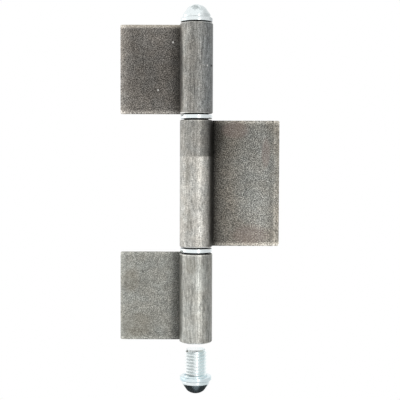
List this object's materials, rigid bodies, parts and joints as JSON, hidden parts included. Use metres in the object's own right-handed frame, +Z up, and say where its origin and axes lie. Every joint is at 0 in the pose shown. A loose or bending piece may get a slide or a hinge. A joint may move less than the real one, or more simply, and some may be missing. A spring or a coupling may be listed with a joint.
{
  "type": "weld-on hinge",
  "caption": "Weld-on hinge: flat leaves on a round barrel turn about a plain pin, with thrust rings between the knuckles and domed screws closing the barrel's ends.",
  "frame": {"origin": "on the pin's axis at the barrel's mid-height", "axes": "+Z up along the pin, +X along the middle leaf, +Y out of the leaf backs"},
  "size_m": [0.088, 0.018, 0.2135],
  "materials": {
    "leaf_steel": "bare drawn steel, dull, with sawn ends",
    "pin_steel": "smooth turned steel",
    "zinc_plate": "bright zinc plate"
  },
  "bodies": {
    "frame_side": {"upper_leaf": "leaf_steel", "lower_leaf": "leaf_steel", "hinge_pin": "pin_steel", "lower_thrust_ring": "zinc_plate"},
    "door_side": {"middle_leaf": "leaf_steel", "upper_thrust_ring": "zinc_plate"},
    "upper_ring": {"upper_screw_ring": "zinc_plate"},
    "upper_screw": {"upper_closing_screw": "zinc_plate"},
    "lower_ring": {"lower_screw_ring": "zinc_plate"},
    "lower_screw": {"lower_closing_screw": "zinc_plate"}
  },
  "joints": [
    {"name": "door_swing", "type": "hinge", "parent": "frame_side", "child": "door_side", "pos_m": [0, 0, 0], "axis": [0, 0, 1], "continuous": true},
    {"name": "upper_screw_travel", "type": "slide", "parent": "frame_side", "child": "upper_ring", "axis": [0, 0, 1], "range_m": [0, 0.0185]},
    {"name": "upper_screw_turn", "type": "hinge", "parent": "upper_ring", "child": "upper_screw", "pos_m": [0, 0, 0.09], "axis": [0, 0, 1], "range_deg": [0, 3805]},
    {"name": "lower_screw_travel", "type": "slide", "parent": "frame_side", "child": "lower_ring", "axis": [0, 0, 1], "range_m": [0, 0.0185]},
    {"name": "lower_screw_turn", "type": "hinge", "parent": "lower_ring", "child": "lower_screw", "pos_m": [0, 0, -0.1085], "axis": [0, 0, 1], "range_deg": [0, 3805]}
  ],
  "couplings": [
    {"joint": "upper_screw_travel", "follows": "upper_screw_turn", "m_per_rad": 0.00027852},
    {"joint": "lower_screw_travel", "follows": "lower_screw_turn", "m_per_rad": 0.00027852}
  ]
}
